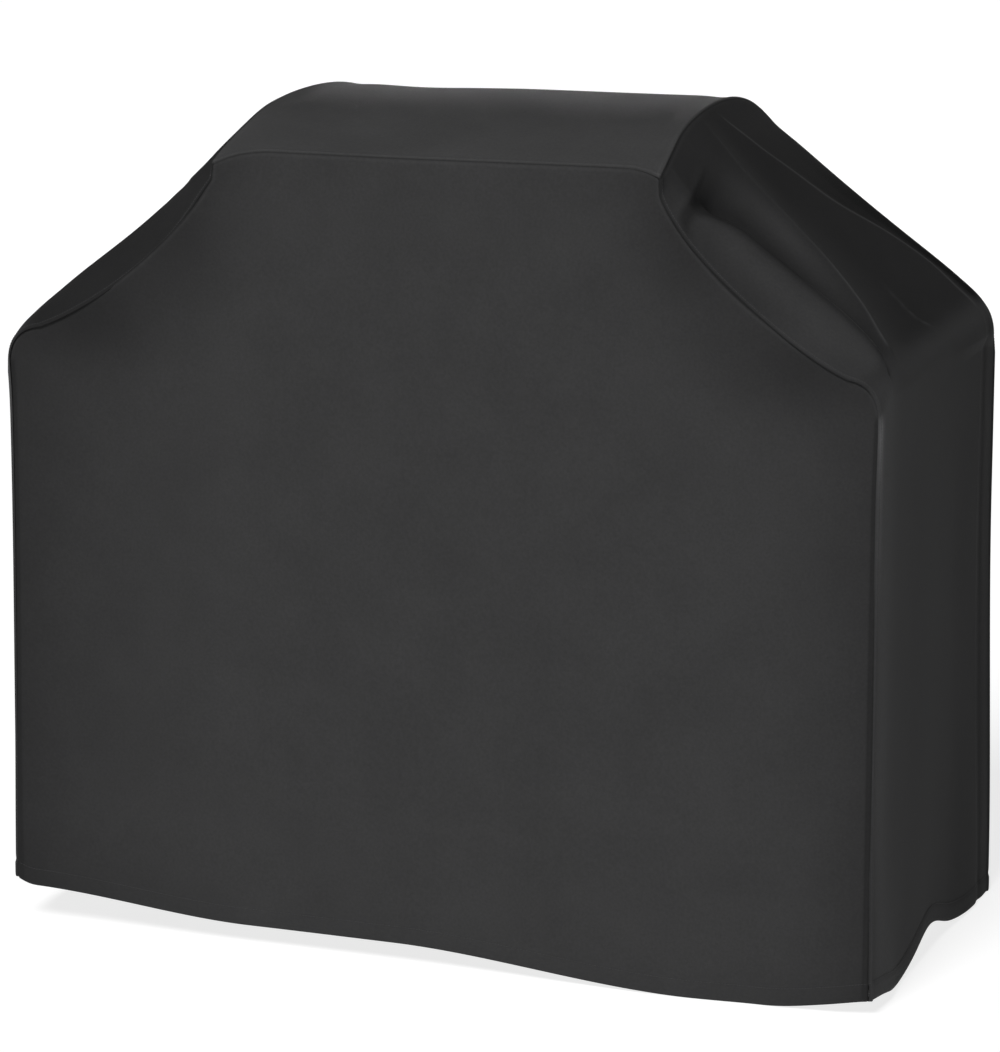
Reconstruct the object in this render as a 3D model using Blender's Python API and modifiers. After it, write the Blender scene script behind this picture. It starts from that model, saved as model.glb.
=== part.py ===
"""Grill cover: a sewn fabric cover for a gas grill with two side shelves.

Five sewn panels, taped seams, a hem casing on each side and an elastic drawcord in the
hem, closed by a sprung cord lock at the middle of the back hem.
Metres, +Z up, front towards -Y. The origin is at the middle of the cover's base.
"""

import math

import bmesh
import bpy
from mathutils import Vector

# Overall size
WIDTH = 1.270
DEPTH = 0.610
SHELF_HEIGHT = 0.872
SEAM_HEIGHT = 1.134
CROWN_HALF = 0.322
CROWN_RISE = 0.048
CROWN_ROUNDNESS = 2.2
CORNER_DROP = 0.012
CORNER_REACH = 0.050
APEX_DROP = 0.002
SHOULDER_RADIUS = 0.032
SHOULDER_BOW = 0.050
BOW_REACH = 0.075

# Lift of the hem above the floor, and where along each edge it happens
FRONT_SAG = 0.028
FRONT_LEFT_LIFT = 0.026
FRONT_RIGHT_LIFT = 0.028
BACK_LEFT_LIFT = 0.010
SCOOP_LIFT = 0.027
SCOOP_AT = 0.49
SCOOP_WIDTH = 0.15
DIP_DROP = 0.013
DIP_AT = 0.15
DIP_WIDTH = 0.10

# How finely the side profile is drawn
SLOPE_END = 0.90
SLOPE_STEPS = 14
CORNER_STEPS = 6
UPRIGHT_STEPS = 8

# Fabric, hem and tape
CLOTH = 0.0020
GAP = 0.0004
CASING_HEIGHT = 0.038
CASING_BULGE = 0.0075
CASING_CLOTH = 0.0010
CASING_LIP = 0.0060
CASING_SLANT = 0.0060
CASING_FOOT = 0.0030
CASING_EDGE = 0.0005
TAPE_WIDTH = 0.012
TAPE_THICKNESS = 0.0006
TAPE_SAG = 0.0012
TAPE_START = 3
CROWN_TAPE_END = 0.024
CORNER_CLEARANCE = 0.030

# Drawcord, eyelets and cord lock
CORD_RADIUS = 0.0015
CORD_HEIGHT = 0.0200
CORD_SPACING = 0.0140
CORD_INSET = 0.0044
CORD_CORNER = 0.016
CORD_TURN = 0.0060
CORD_TURN_DEPTH = 0.0042
ACROSS_STEPS = 28
ALONG_STEPS = 16
EYELET_HOLE = 0.0022
EYELET_BARREL = 0.0027
EYELET_FLANGE = 0.0055
EYELET_SHEET = 0.0006
EYELET_ROLL = 0.0008
EYELET_RISE = 0.0013
LOCK_WIDTH = 0.0260
LOCK_DEPTH = 0.0120
LOCK_BASE = 0.0060
LOCK_TOP = 0.0300
LOCK_WALL = 0.0024
LOCK_GAP = 0.0020
LOCK_TRAVEL = 0.0080
LOCK_CLEARANCE = 0.0004
BUTTON_TRAVEL = 0.0030
BUTTON_CAP = 0.0036
BUTTON_FOOT = 0.0024
BUTTON_ROUND = 0.0006
LOCK_ROUND = 0.0020
OVERCUT = 0.0100
CORD_HOLE = 0.0022
SPRING_RADIUS = 0.0022
SPRING_WIRE = 0.00035
SPRING_TURNS = 5
BEAD_RADIUS = 0.0036
BEAD_LENGTH = 0.0090
BEAD_NECK = 0.0023
BEAD_GAP = 0.0010

# The cord's ends stand out behind, so the fabric sits forward by half their reach.
CORD_REACH = LOCK_GAP + LOCK_DEPTH + LOCK_TRAVEL + BEAD_GAP + BEAD_LENGTH
MID_Y = -CORD_REACH / 2
FRONT_Y = MID_Y - DEPTH / 2
BACK_Y = MID_Y + DEPTH / 2
SIDE_X = WIDTH / 2

PARTS = "grill_cover"
CUTTERS = "grill_cover_cutters"


# ---------------------------------------------------------------- scene and materials


def clear_scene():
    for obj in list(bpy.data.objects):
        bpy.data.objects.remove(obj, do_unlink=True)
    for name in (PARTS, CUTTERS):
        collection = bpy.data.collections.new(name)
        bpy.context.scene.collection.children.link(collection)
    bpy.data.collections[CUTTERS].hide_render = True


def make_material(name, colour, roughness, metallic=0.0):
    material = bpy.data.materials.new(name)
    material.use_nodes = True
    shader = material.node_tree.nodes["Principled BSDF"]
    shader.inputs["Base Color"].default_value = (*colour, 1.0)
    shader.inputs["Roughness"].default_value = roughness
    shader.inputs["Metallic"].default_value = metallic
    return material


def add_object(name, data, material):
    obj = bpy.data.objects.new(name, data)
    bpy.data.collections[PARTS].objects.link(obj)
    data.materials.append(material)
    return obj


def add_cutter(name, mesh):
    obj = bpy.data.objects.new(name, mesh)
    bpy.data.collections[CUTTERS].objects.link(obj)
    obj.hide_render = True
    obj.display_type = "WIRE"
    return obj


def cut(obj, cutter):
    modifier = obj.modifiers.new("cut_" + cutter.name, "BOOLEAN")
    modifier.operation = "DIFFERENCE"
    modifier.solver = "EXACT"
    modifier.object = cutter


def smooth(mesh, angle=35):
    mesh.shade_smooth()
    mesh.set_sharp_from_angle(angle=math.radians(angle))


# ---------------------------------------------------------------- the cover's shape


def smoothstep(low, high, value):
    t = min(max((value - low) / (high - low), 0.0), 1.0)
    return t * t * (3 - 2 * t)


def bump(value, middle, width):
    return math.exp(-(((value - middle) / width) ** 2))


def crown_height(y, x=0.0):
    """Height of the arched top, which is drawn down a little at its two ends."""
    across = min(abs(y - MID_Y) / (DEPTH / 2), 1.0)
    end = max(abs(x) - CROWN_HALF + CORNER_REACH, 0.0) / CORNER_REACH
    drop = APEX_DROP + (CORNER_DROP - APEX_DROP) * across**4
    return SEAM_HEIGHT + CROWN_RISE * (1 - across**CROWN_ROUNDNESS) - drop * end


def front_hem(x):
    """The front hem droops right of centre and lifts towards both corners."""
    middle = FRONT_SAG * (1 - smoothstep(-0.06, 0.38, x))
    left = FRONT_LEFT_LIFT * smoothstep(-0.28, -SIDE_X, x)
    right = FRONT_RIGHT_LIFT * smoothstep(0.44, SIDE_X, x)
    return middle + left + right


def back_hem(x):
    """The back hem hangs level and lifts a little at its left end."""
    return BACK_LEFT_LIFT * smoothstep(-0.45, -SIDE_X, x)


def side_hem(y, side):
    """The end hems run between the front and back corners, with one shallow scoop."""
    part = (y - FRONT_Y) / DEPTH
    ends = front_hem(side * SIDE_X) * (1 - part) + back_hem(side * SIDE_X) * part
    inside = smoothstep(0.0, 0.15, part) * smoothstep(1.0, 0.85, part)
    scoop = SCOOP_LIFT * bump(part, SCOOP_AT, SCOOP_WIDTH)
    dip = DIP_DROP * bump(part, DIP_AT, DIP_WIDTH)
    return ends + (scoop - dip) * inside


def bow(t):
    """How far the sewn slope edge hangs below a straight line, from crown to shelf."""
    return SHOULDER_BOW * math.sqrt(max(4 * t * (1 - t), 0.0))


def slope_edge(t, top, bow_share):
    """Point (x, z) on the shoulder slope, t from 0 at the crown to 1 at the shelf."""
    run = SIDE_X - CROWN_HALF
    drop = top - SHELF_HEIGHT
    length = math.hypot(run, drop)
    sag = bow(t) * bow_share
    x = max(CROWN_HALF + run * t - sag * drop / length, CROWN_HALF)
    z = top - drop * t - sag * run / length
    return x, z


def side_profile(hem, top=SEAM_HEIGHT - CORNER_DROP, bow_share=1.0):
    """Points (x, z) from the crown seam down the slope, round the shelf, to the hem."""
    points = []
    for i in range(SLOPE_STEPS + 1):
        t = SLOPE_END * (1 - math.cos(math.pi * i / SLOPE_STEPS)) / 2
        points.append(slope_edge(t, top, bow_share))
    start = Vector(points[-1])
    corner = Vector((SIDE_X - 0.005 * bow_share, SHELF_HEIGHT - 0.004 * bow_share))
    end = Vector((SIDE_X, SHELF_HEIGHT - SHOULDER_RADIUS - 0.020 * bow_share))
    for i in range(1, CORNER_STEPS + 1):
        u = i / CORNER_STEPS
        point = start * (1 - u) ** 2 + corner * 2 * u * (1 - u) + end * u * u
        points.append((point.x, point.y))
    for i in range(1, UPRIGHT_STEPS + 1):
        points.append((SIDE_X, end.y + (hem - end.y) * i / UPRIGHT_STEPS))
    return points


# ---------------------------------------------------------------- sheet helpers


def grid_mesh(name, rows):
    """An open sheet through rows of points."""
    bm = bmesh.new()
    made = [[bm.verts.new(point) for point in row] for row in rows]
    for near, far in zip(made, made[1:]):
        for i in range(len(near) - 1):
            bm.faces.new((near[i], near[i + 1], far[i + 1], far[i]))
    mesh = bpy.data.meshes.new(name)
    bm.to_mesh(mesh)
    bm.free()
    return mesh


def add_sheet(name, rows, thickness, material, inward=-1.0):
    """A grid sheet thickened on the inner side of the points given."""
    mesh = grid_mesh(name, rows)
    smooth(mesh)
    obj = add_object(name, mesh, material)
    solidify = obj.modifiers.new("cloth", "SOLIDIFY")
    solidify.thickness = thickness
    solidify.offset = inward
    solidify.use_even_offset = False
    solidify.use_rim = True
    return obj


def add_flat_panel(name, outline, y, material, holes=()):
    """A flat outline of (x, z) points, standing at depth y, one cloth thick."""
    curve = bpy.data.curves.new(name, "CURVE")
    curve.dimensions = "2D"
    curve.fill_mode = "BOTH"
    curve.extrude = CLOTH / 2
    for points in (outline, *holes):
        spline = curve.splines.new("POLY")
        spline.points.add(len(points) - 1)
        spline.use_cyclic_u = True
        for target, (x, z) in zip(spline.points, points):
            target.co = (x, z, 0.0, 1.0)
    obj = add_object(name, curve, material)
    obj.location = (0.0, y, 0.0)
    obj.rotation_euler = (math.radians(90), 0.0, 0.0)
    return obj


def circle(x, z, radius, steps=16):
    turn = 2 * math.pi / steps
    points = []
    for i in range(steps):
        points.append((x + radius * math.cos(turn * i), z + radius * math.sin(turn * i)))
    return points


def panel_outline(hem):
    """Outline (x, z) of a front or back panel, with its own hem line."""
    outline = side_profile(hem(SIDE_X))
    for i in range(1, ACROSS_STEPS):
        x = SIDE_X - WIDTH * i / ACROSS_STEPS
        outline.append((x, hem(x)))
    outline += [(-x, z) for x, z in reversed(side_profile(hem(-SIDE_X)))]
    level = CROWN_HALF - CORNER_REACH
    outline += [(-level, SEAM_HEIGHT), (level, SEAM_HEIGHT)]
    return outline


# ---------------------------------------------------------------- fabric panels


def build_front_panel(fabric):
    add_flat_panel("front_panel", panel_outline(front_hem), FRONT_Y + CLOTH / 2, fabric)


def build_back_panel(fabric):
    eyelets = []
    for side in (-1, 1):
        eyelets.append(circle(side * CORD_SPACING / 2, CORD_HEIGHT, EYELET_BARREL + GAP))
    outline = panel_outline(back_hem)
    add_flat_panel("back_panel", outline, BACK_Y - CLOTH / 2, fabric, eyelets)


def inner_depths(count):
    """Depths from front to back between the two flat panels, closer at the ends."""
    reach = DEPTH / 2 - CLOTH - GAP
    return [MID_Y - reach * math.cos(math.pi * i / count) for i in range(count + 1)]


def build_crown_panel(fabric):
    """The arched top panel. An odd number of facets leaves a level one at the apex."""
    level = CROWN_HALF - CORNER_REACH
    half = CROWN_HALF - GAP
    rows = []
    for y in inner_depths(17):
        rows.append([(x, y, crown_height(y, x)) for x in (-half, -level, level, half)])
    add_sheet("crown_panel", rows, CLOTH, fabric)


def build_end_panel(name, side, fabric):
    """Shoulder slope and upright end in one panel, folded over the shelf."""
    nearest = CROWN_HALF + CLOTH + GAP
    rows = []
    for y in inner_depths(18):
        edge = min(y - FRONT_Y, BACK_Y - y)
        share = max(1 - edge / BOW_REACH, 0.0) ** 2
        profile = side_profile(side_hem(y, side), crown_height(y, CROWN_HALF), share)
        row = [(side * max(x, nearest), y, z) for x, z in profile]
        rows.append(row if side > 0 else row[::-1])
    add_sheet(name, rows, CLOTH, fabric)


# ---------------------------------------------------------------- hem casings and tapes


def casing_section():
    """(inset, height) points of a hem casing, from its top edge to its lower edge."""
    near = CLOTH + GAP
    far = CLOTH + CASING_BULGE
    top = CASING_HEIGHT
    return [
        (near, top),
        (near, top - CASING_LIP),
        (far, top - CASING_LIP - CASING_SLANT),
        (far, CASING_FOOT + CASING_SLANT),
        (near, CASING_FOOT),
        (near, CASING_EDGE),
    ]


def build_casing_across(name, y, inward, hem, fabric):
    """The casing inside the front or the back hem."""
    reach = SIDE_X - CORNER_CLEARANCE
    rows = []
    for i in range(ACROSS_STEPS + 1):
        x = -reach + 2 * reach * i / ACROSS_STEPS
        rows.append([(x, y + inward * inset, hem(x) + up) for inset, up in casing_section()])
    add_sheet(name, rows if inward > 0 else rows[::-1], CASING_CLOTH, fabric)


def build_casing_along(name, side, fabric):
    """The casing inside an end hem."""
    reach = DEPTH / 2 - CORNER_CLEARANCE
    rows = []
    for i in range(ALONG_STEPS + 1):
        y = MID_Y - reach + 2 * reach * i / ALONG_STEPS
        low = side_hem(y, side)
        section = casing_section()
        rows.append([(side * (SIDE_X - inset), y, low + up) for inset, up in section])
    add_sheet(name, rows if side > 0 else rows[::-1], CASING_CLOTH, fabric)


def build_corner_tape(name, side, y, inward, hem, tape):
    """Seam tape inside the sewn edge between a flat panel and an end panel."""
    profile = side_profile(hem(side * SIDE_X) + CASING_HEIGHT + CLOTH)
    points = [Vector((side * x, z)) for x, z in profile[TAPE_START:]]
    lift = CLOTH + 2 * GAP
    face = y + inward * (CLOTH + GAP)
    rows = []
    for i, point in enumerate(points):
        before = points[max(i - 1, 0)]
        after = points[min(i + 1, len(points) - 1)]
        along = (after - before).normalized()
        inner = Vector((along.y, -along.x)) * side
        near = point + inner * lift
        far = point + inner * (lift + TAPE_WIDTH)
        rows.append(
            [
                (near.x, face + inward * TAPE_WIDTH, near.y),
                (near.x, face, near.y),
                (far.x, face, far.y),
            ]
        )
    flip = side * inward > 0
    add_sheet(name, rows if flip else rows[::-1], TAPE_THICKNESS, tape)


def build_crown_tape_across(name, y, inward, tape):
    """Seam tape inside the front or back edge of the crown."""
    face = y + inward * (CLOTH + GAP)
    level = CROWN_HALF - CORNER_REACH
    end = CROWN_HALF - CROWN_TAPE_END
    rows = []
    for x in (-end, -level, level, end):
        under = crown_height(y, x) - CLOTH - 2 * GAP - TAPE_THICKNESS
        rows.append(
            [
                (x, face + inward * TAPE_WIDTH, under),
                (x, face, under),
                (x, face, under - TAPE_WIDTH),
            ]
        )
    add_sheet(name, rows if inward > 0 else rows[::-1], TAPE_THICKNESS, tape)


def build_crown_tape_along(name, side, tape):
    """Seam tape under the joint between the crown and an end panel."""
    rows = []
    reach = DEPTH / 2 - BOW_REACH
    inner = CROWN_HALF - TAPE_WIDTH
    outer = CROWN_HALF + TAPE_WIDTH
    for i in range(ALONG_STEPS + 1):
        y = MID_Y - reach + 2 * reach * i / ALONG_STEPS
        under = crown_height(y, inner) - CLOTH - 3 * GAP
        seam = crown_height(y, CROWN_HALF) - CLOTH - 3 * GAP - TAPE_SAG
        drop = (seam - SHELF_HEIGHT) / (SIDE_X - CROWN_HALF)
        rows.append(
            [
                (side * inner, y, under),
                (side * CROWN_HALF, y, seam),
                (side * outer, y, seam - GAP - drop * TAPE_WIDTH),
            ]
        )
    add_sheet(name, rows if side < 0 else rows[::-1], TAPE_THICKNESS, tape)


# ---------------------------------------------------------------- drawcord


def corner_arc(x, y, start, steps=6):
    """Points of a quarter turn of the cord round an inside corner."""
    points = []
    for i in range(steps + 1):
        angle = start + math.pi / 2 * i / steps
        points.append((x + CORD_CORNER * math.cos(angle), y + CORD_CORNER * math.sin(angle)))
    return points


def hem_route():
    """Plan of the cord in the hem: back middle, left end, front, right end, back middle."""
    out_x = SIDE_X - CLOTH - CORD_INSET
    front = FRONT_Y + CLOTH + CORD_INSET
    back = BACK_Y - CLOTH - CORD_INSET
    in_x = out_x - CORD_CORNER
    start_x = CORD_SPACING / 2 + CORD_TURN
    plan = []
    for i in range(14):
        plan.append((-start_x - (in_x - start_x) * i / 14, back))
    plan += corner_arc(-in_x, back - CORD_CORNER, math.pi / 2)
    for i in range(1, 12):
        plan.append((-out_x, back - CORD_CORNER - (back - front - 2 * CORD_CORNER) * i / 12))
    plan += corner_arc(-in_x, front + CORD_CORNER, math.pi)
    for i in range(1, ACROSS_STEPS):
        plan.append((-in_x + 2 * in_x * i / ACROSS_STEPS, front))
    plan += corner_arc(in_x, front + CORD_CORNER, -math.pi / 2)
    for i in range(1, 12):
        plan.append((out_x, front + CORD_CORNER + (back - front - 2 * CORD_CORNER) * i / 12))
    plan += corner_arc(in_x, back - CORD_CORNER, 0.0)
    for i in range(1, 15):
        plan.append((in_x - (in_x - start_x) * i / 14, back))
    return plan


def hem_at(x, y):
    """Height of the hem beside a point of the cord's plan."""
    if y > BACK_Y - CORNER_CLEARANCE and abs(x) < SIDE_X - CORNER_CLEARANCE:
        return back_hem(x)
    if y < FRONT_Y + CORNER_CLEARANCE and abs(x) < SIDE_X - CORNER_CLEARANCE:
        return front_hem(x)
    return side_hem(y, 1 if x > 0 else -1)


def cord_route():
    """The whole cord, from its left end through the lock, round the hem and back out."""
    back = BACK_Y - CLOTH - CORD_INSET
    end_y = BACK_Y + CORD_REACH - BEAD_LENGTH + GAP
    half = CORD_SPACING / 2
    tail = []
    for y in (end_y, BACK_Y + LOCK_GAP + LOCK_DEPTH, BACK_Y + LOCK_GAP, BACK_Y):
        tail.append((half, y, CORD_HEIGHT))
    for i in range(4):
        angle = math.pi / 2 * i / 4
        x = half + CORD_TURN * (1 - math.cos(angle))
        y = back + CORD_TURN_DEPTH * (1 - math.sin(angle))
        tail.append((x, y, CORD_HEIGHT))
    run = [(x, y, hem_at(x, y) + CORD_HEIGHT) for x, y in hem_route()]
    left = [(-x, y, z) for x, y, z in tail]
    return left + run + tail[::-1]


def build_drawcord(elastic):
    curve = bpy.data.curves.new("drawcord", "CURVE")
    curve.dimensions = "3D"
    curve.bevel_depth = CORD_RADIUS
    curve.bevel_resolution = 2
    curve.use_fill_caps = True
    route = cord_route()
    spline = curve.splines.new("POLY")
    spline.points.add(len(route) - 1)
    for target, point in zip(spline.points, route):
        target.co = (*point, 1.0)
    add_object("drawcord", curve, elastic)


# ---------------------------------------------------------------- turned and boxed pieces


def add_turned(name, profile, material, location, steps=24):
    """A piece turned from a closed (radius, height) profile, its axis laid along Y."""
    bm = bmesh.new()
    points = [bm.verts.new((radius, 0.0, height)) for radius, height in profile]
    for i, point in enumerate(points):
        bm.edges.new((point, points[(i + 1) % len(points)]))
    mesh = bpy.data.meshes.new(name)
    bm.to_mesh(mesh)
    bm.free()
    obj = add_object(name, mesh, material)
    screw = obj.modifiers.new("turn", "SCREW")
    screw.steps = steps
    screw.render_steps = steps
    screw.use_merge_vertices = True
    screw.merge_threshold = 0.00001
    obj.location = location
    obj.rotation_euler = (math.radians(-90), 0.0, 0.0)


def box_mesh(name, low, high):
    """A box between two corners."""
    bm = bmesh.new()
    bmesh.ops.create_cube(bm, size=1.0)
    for vert in bm.verts:
        for axis in range(3):
            vert.co[axis] = high[axis] if vert.co[axis] > 0 else low[axis]
    mesh = bpy.data.meshes.new(name)
    bm.to_mesh(mesh)
    bm.free()
    return mesh


def rod_mesh(name, x, z, radius, low_y, high_y, steps=16):
    """A round bar along Y."""
    bm = bmesh.new()
    bmesh.ops.create_cone(
        bm,
        cap_ends=True,
        segments=steps,
        radius1=radius,
        radius2=radius,
        depth=high_y - low_y,
    )
    for vert in bm.verts:
        vert.co = (x + vert.co.x, (low_y + high_y) / 2 - vert.co.z, z + vert.co.y)
    mesh = bpy.data.meshes.new(name)
    bm.to_mesh(mesh)
    bm.free()
    return mesh


def move_origin(obj, point):
    """Puts an object's origin at a point without moving its shape."""
    offset = Vector(point)
    for vert in obj.data.vertices:
        vert.co -= offset
    obj.location = offset


def build_eyelets(metal):
    """Two eyelets in the back hem, each with its washer inside."""
    barrel_end = -CLOTH - 2 * GAP - EYELET_SHEET
    for side, label in ((-1, "left"), (1, "right")):
        place = (side * CORD_SPACING / 2, BACK_Y, CORD_HEIGHT)
        profile = [
            (EYELET_HOLE, EYELET_RISE - GAP),
            (EYELET_HOLE, barrel_end),
            (EYELET_BARREL, barrel_end),
            (EYELET_BARREL, GAP),
            (EYELET_FLANGE, GAP),
            (EYELET_FLANGE - EYELET_ROLL, EYELET_RISE),
            (EYELET_BARREL + GAP, EYELET_RISE),
        ]
        add_turned(f"eyelet_{label}", profile[::-1], metal, place)
        washer = [
            (EYELET_BARREL + GAP, -CLOTH - GAP),
            (EYELET_FLANGE, -CLOTH - GAP),
            (EYELET_FLANGE, -CLOTH - GAP - EYELET_SHEET),
            (EYELET_BARREL + GAP, -CLOTH - GAP - EYELET_SHEET),
        ]
        add_turned(f"eyelet_washer_{label}", washer, metal, place)


def build_lock_body(plastic):
    """Lock housing: two cord holes front to back and a button pocket open at the top."""
    near = BACK_Y + LOCK_GAP
    half = LOCK_WIDTH / 2
    mesh = box_mesh("cord_lock_body", (-half, near, LOCK_BASE), (half, near + LOCK_DEPTH, LOCK_TOP))
    obj = add_object("cord_lock_body", mesh, plastic)
    move_origin(obj, (0.0, near + LOCK_DEPTH / 2, CORD_HEIGHT))
    round_off = obj.modifiers.new("round", "BEVEL")
    round_off.width = LOCK_ROUND
    round_off.segments = 3
    low = (-half + LOCK_WALL, near + LOCK_WALL, LOCK_BASE + LOCK_WALL)
    high = (half - LOCK_WALL, near + LOCK_DEPTH - LOCK_WALL, LOCK_TOP + OVERCUT)
    cut(obj, add_cutter("lock_pocket_cutter", box_mesh("lock_pocket_cutter", low, high)))
    for side, label in ((-1, "left"), (1, "right")):
        name = f"lock_hole_{label}_cutter"
        x = side * CORD_SPACING / 2
        rod = rod_mesh(name, x, CORD_HEIGHT, CORD_HOLE, near - OVERCUT, near + LOCK_DEPTH + OVERCUT)
        cut(obj, add_cutter(name, rod))


def build_lock_button(plastic):
    """Sprung button: a slotted block that grips the cords, with a cap to press."""
    near = BACK_Y + LOCK_GAP + LOCK_WALL + LOCK_CLEARANCE
    far = BACK_Y + LOCK_GAP + LOCK_DEPTH - LOCK_WALL - LOCK_CLEARANCE
    half = LOCK_WIDTH / 2 - LOCK_WALL - LOCK_CLEARANCE
    cap_low = LOCK_TOP + BUTTON_TRAVEL + GAP
    foot = spring_top() + GAP
    mesh = box_mesh("cord_lock_button", (-half, near, foot), (half, far, cap_low + BUTTON_CAP))
    obj = add_object("cord_lock_button", mesh, plastic)
    move_origin(obj, (0.0, (near + far) / 2, CORD_HEIGHT))
    round_off = obj.modifiers.new("round", "BEVEL")
    round_off.width = BUTTON_ROUND
    round_off.segments = 2
    slot_low = CORD_HEIGHT - CORD_RADIUS - GAP
    slot_high = CORD_HEIGHT + CORD_RADIUS + BUTTON_TRAVEL + GAP
    for side, label in ((-1, "left"), (1, "right")):
        name = f"button_slot_{label}_cutter"
        x = side * CORD_SPACING / 2
        low = (x - CORD_HOLE, near - OVERCUT, slot_low)
        high = (x + CORD_HOLE, far + OVERCUT, slot_high)
        cut(obj, add_cutter(name, box_mesh(name, low, high)))


def spring_top():
    return CORD_HEIGHT - CORD_RADIUS - GAP - BUTTON_FOOT


def build_lock_spring(steel):
    """Coil spring under the button, standing on the pocket's floor."""
    curve = bpy.data.curves.new("cord_lock_spring", "CURVE")
    curve.dimensions = "3D"
    curve.bevel_depth = SPRING_WIRE
    curve.bevel_resolution = 1
    curve.use_fill_caps = True
    low = LOCK_BASE + LOCK_WALL + SPRING_WIRE + GAP
    high = spring_top() - SPRING_WIRE
    per_turn = 10
    count = SPRING_TURNS * per_turn
    spline = curve.splines.new("POLY")
    spline.points.add(count)
    for i, target in enumerate(spline.points):
        angle = 2 * math.pi * i / per_turn
        x = SPRING_RADIUS * math.cos(angle)
        y = SPRING_RADIUS * math.sin(angle)
        target.co = (x, y, low + (high - low) * i / count, 1.0)
    obj = add_object("cord_lock_spring", curve, steel)
    obj.location = (0.0, BACK_Y + LOCK_GAP + LOCK_DEPTH / 2, 0.0)


def build_cord_ends(plastic):
    """A moulded bead closed on each end of the cord."""
    start = BACK_Y + CORD_REACH - BEAD_LENGTH + 2 * GAP
    length = BEAD_LENGTH - 2 * GAP
    for side, label in ((-1, "left"), (1, "right")):
        profile = [
            (0.0, length),
            (BEAD_NECK, length),
            (BEAD_RADIUS, length - BEAD_NECK),
            (BEAD_RADIUS, BEAD_NECK),
            (BEAD_NECK, 0.0),
            (0.0, 0.0),
        ]
        place = (side * CORD_SPACING / 2, start, CORD_HEIGHT)
        add_turned(f"cord_end_{label}", profile, plastic, place)


# ---------------------------------------------------------------- the whole cover


def build_cover():
    clear_scene()
    fabric = make_material("cover_fabric", (0.035, 0.035, 0.036), 0.82)
    tape = make_material("seam_tape", (0.10, 0.10, 0.105), 0.45)
    elastic = make_material("drawcord_elastic", (0.02, 0.02, 0.02), 0.75)
    metal = make_material("eyelet_metal", (0.12, 0.12, 0.125), 0.35, 1.0)
    plastic = make_material("lock_plastic", (0.018, 0.018, 0.019), 0.45)
    steel = make_material("spring_steel", (0.55, 0.56, 0.58), 0.30, 1.0)

    build_front_panel(fabric)
    build_back_panel(fabric)
    build_crown_panel(fabric)
    build_end_panel("right_end_panel", 1, fabric)
    build_end_panel("left_end_panel", -1, fabric)

    build_casing_across("front_hem_casing", FRONT_Y, 1, front_hem, fabric)
    build_casing_across("back_hem_casing", BACK_Y, -1, back_hem, fabric)
    build_casing_along("right_hem_casing", 1, fabric)
    build_casing_along("left_hem_casing", -1, fabric)

    for side, label in ((1, "right"), (-1, "left")):
        build_corner_tape(f"front_{label}_seam_tape", side, FRONT_Y, 1, front_hem, tape)
        build_corner_tape(f"back_{label}_seam_tape", side, BACK_Y, -1, back_hem, tape)
        build_crown_tape_along(f"crown_{label}_seam_tape", side, tape)
    build_crown_tape_across("crown_front_seam_tape", FRONT_Y, 1, tape)
    build_crown_tape_across("crown_back_seam_tape", BACK_Y, -1, tape)

    build_drawcord(elastic)
    build_eyelets(metal)
    build_lock_body(plastic)
    build_lock_button(plastic)
    build_lock_spring(steel)
    build_cord_ends(plastic)


build_cover()
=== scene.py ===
"""Grill cover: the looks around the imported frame. Metres, +Z up, front towards -Y."""

import math

import bpy
import numpy as np
from mathutils import Euler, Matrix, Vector


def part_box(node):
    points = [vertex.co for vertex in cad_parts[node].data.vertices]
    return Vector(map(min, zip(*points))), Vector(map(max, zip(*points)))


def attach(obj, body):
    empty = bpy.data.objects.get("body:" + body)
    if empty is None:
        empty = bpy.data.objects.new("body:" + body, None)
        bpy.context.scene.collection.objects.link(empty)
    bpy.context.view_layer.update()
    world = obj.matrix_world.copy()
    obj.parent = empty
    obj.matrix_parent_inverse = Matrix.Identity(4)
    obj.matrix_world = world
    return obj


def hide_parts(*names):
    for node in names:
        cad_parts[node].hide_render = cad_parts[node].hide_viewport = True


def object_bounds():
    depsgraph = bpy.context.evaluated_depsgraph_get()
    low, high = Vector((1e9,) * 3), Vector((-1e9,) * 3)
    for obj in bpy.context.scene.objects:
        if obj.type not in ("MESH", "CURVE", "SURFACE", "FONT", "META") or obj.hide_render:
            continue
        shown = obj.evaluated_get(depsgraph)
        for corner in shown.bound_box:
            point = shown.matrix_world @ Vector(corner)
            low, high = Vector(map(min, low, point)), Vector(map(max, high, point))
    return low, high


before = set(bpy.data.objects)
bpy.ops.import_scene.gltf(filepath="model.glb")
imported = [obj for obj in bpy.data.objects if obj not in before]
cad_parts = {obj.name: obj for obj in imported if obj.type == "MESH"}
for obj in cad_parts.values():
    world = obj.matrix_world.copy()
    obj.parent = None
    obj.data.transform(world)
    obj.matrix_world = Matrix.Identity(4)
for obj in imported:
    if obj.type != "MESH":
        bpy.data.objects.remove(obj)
CAD_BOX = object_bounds()

# ------------------------ sizes from the frame

FRONT_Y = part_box("front_panel")[0].y
BACK_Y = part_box("back_panel")[1].y
MID_Y = (FRONT_Y + BACK_Y) / 2
DEPTH = BACK_Y - FRONT_Y
SIDE_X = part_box("front_panel")[1].x
SEAM_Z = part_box("front_panel")[1].z
CROWN_X = 0.322
CROWN_RISE = CAD_BOX[1].z - SEAM_Z
CORD_X, _, CORD_Z = (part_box("eyelet_right")[0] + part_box("eyelet_right")[1]) / 2

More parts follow.
